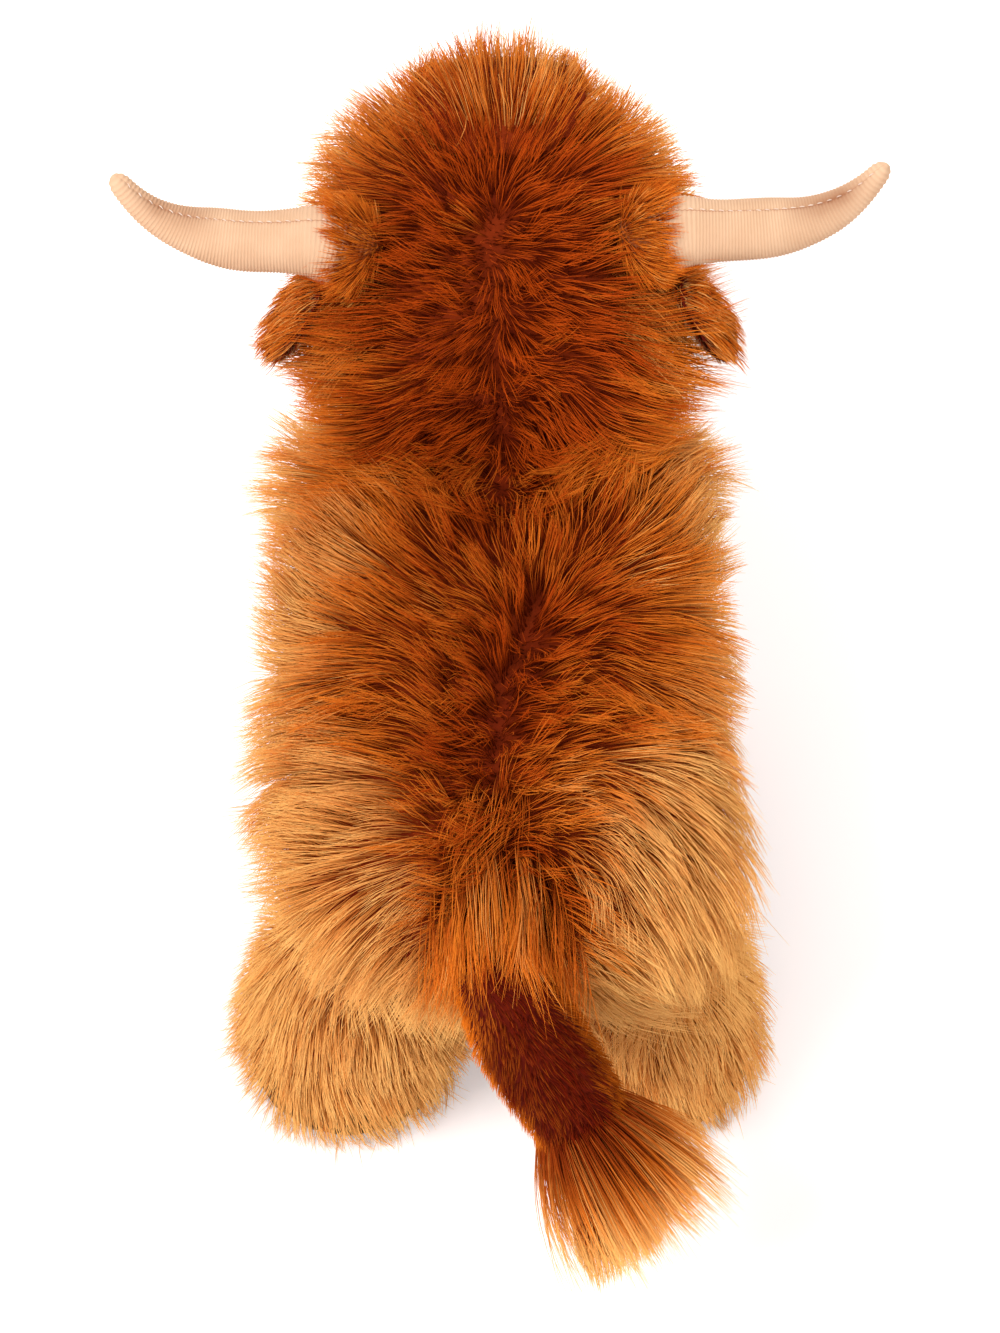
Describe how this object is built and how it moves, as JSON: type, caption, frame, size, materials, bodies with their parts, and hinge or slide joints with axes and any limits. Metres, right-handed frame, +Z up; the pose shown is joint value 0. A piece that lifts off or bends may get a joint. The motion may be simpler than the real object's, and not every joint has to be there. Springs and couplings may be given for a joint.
{
  "type": "plush cow",
  "caption": "Long-haired plush cow that stands on flat soles, with wide fabric horns, hanging ears, a long forelock and a stuffed tail that swings and ends in a long tuft.",
  "frame": {"origin": "middle of the underside of the cow's box at rest, on the surface it stands on", "axes": "+Z up; the cow faces -Y, and +X is its left"},
  "size_m": [0.3084, 0.4942, 0.289],
  "materials": {
    "long_pile": "long two-tone faux fur, dark along the parting and golden at the sides",
    "short_pile": "short dense plush pile",
    "horn_fabric": "fine ribbed knit with brown shading by the tips",
    "filling": "polyester fibre filling",
    "sole_fabric": "brushed sole fabric",
    "muzzle_fabric": "short brushed plush",
    "eye_plastic": "polished",
    "washer_plastic": "moulded"
  },
  "bodies": {
    "torso": {"belly_gusset": "long_pile", "body_filling": "filling", "body_pelt_left": "long_pile", "body_pelt_right": "long_pile", "eye_left": "eye_plastic", "eye_right": "eye_plastic", "eye_washer_left": "washer_plastic", "eye_washer_right": "washer_plastic", "forelock": "long_pile", "front_leg_left_filling": "filling", "front_leg_left_pelt": "long_pile", "front_leg_left_sole": "sole_fabric", "front_leg_right_filling": "filling", "front_leg_right_pelt": "long_pile", "front_leg_right_sole": "sole_fabric", "head_filling": "filling", "head_pelt_left": "long_pile", "head_pelt_right": "long_pile", "horn_cover_left": "horn_fabric", "horn_cover_right": "horn_fabric", "horn_filling_left": "filling", "horn_filling_right": "filling", "muzzle_cover": "muzzle_fabric", "muzzle_filling": "filling", "rear_leg_left_filling": "filling", "rear_leg_left_pelt": "long_pile", "rear_leg_left_sole": "sole_fabric", "rear_leg_right_filling": "filling", "rear_leg_right_pelt": "long_pile", "rear_leg_right_sole": "sole_fabric"},
    "tail": {"tail_sleeve": "short_pile", "tail_filling": "filling"},
    "tuft": {"tail_tuft": "long_pile"},
    "ear_left": {"ear_back_left": "short_pile", "ear_lining_left": "long_pile"},
    "ear_right": {"ear_back_right": "short_pile", "ear_lining_right": "long_pile"}
  },
  "joints": [
    {"name": "tail_swing", "type": "hinge", "parent": "torso", "child": "tail", "pos_m": [0, 0.16701, 0.19456], "axis": [0, 0, 1], "range_deg": [-94, 16]},
    {"name": "tuft_swing", "type": "hinge", "parent": "tail", "child": "tuft", "pos_m": [-0.02872, 0.20247, 0.14017], "axis": [0, 0, 1], "range_deg": [-30, 14]},
    {"name": "ear_left_flap", "type": "hinge", "parent": "torso", "child": "ear_left", "pos_m": [0.07094, -0.10811, 0.2404], "axis": [-0.1067, 0.9816, 0.1582], "range_deg": [-40, 0]},
    {"name": "ear_right_flap", "type": "hinge", "parent": "torso", "child": "ear_right", "pos_m": [-0.07094, -0.10811, 0.2404], "axis": [0.1067, 0.9816, 0.1582], "range_deg": [0, 40]}
  ]
}
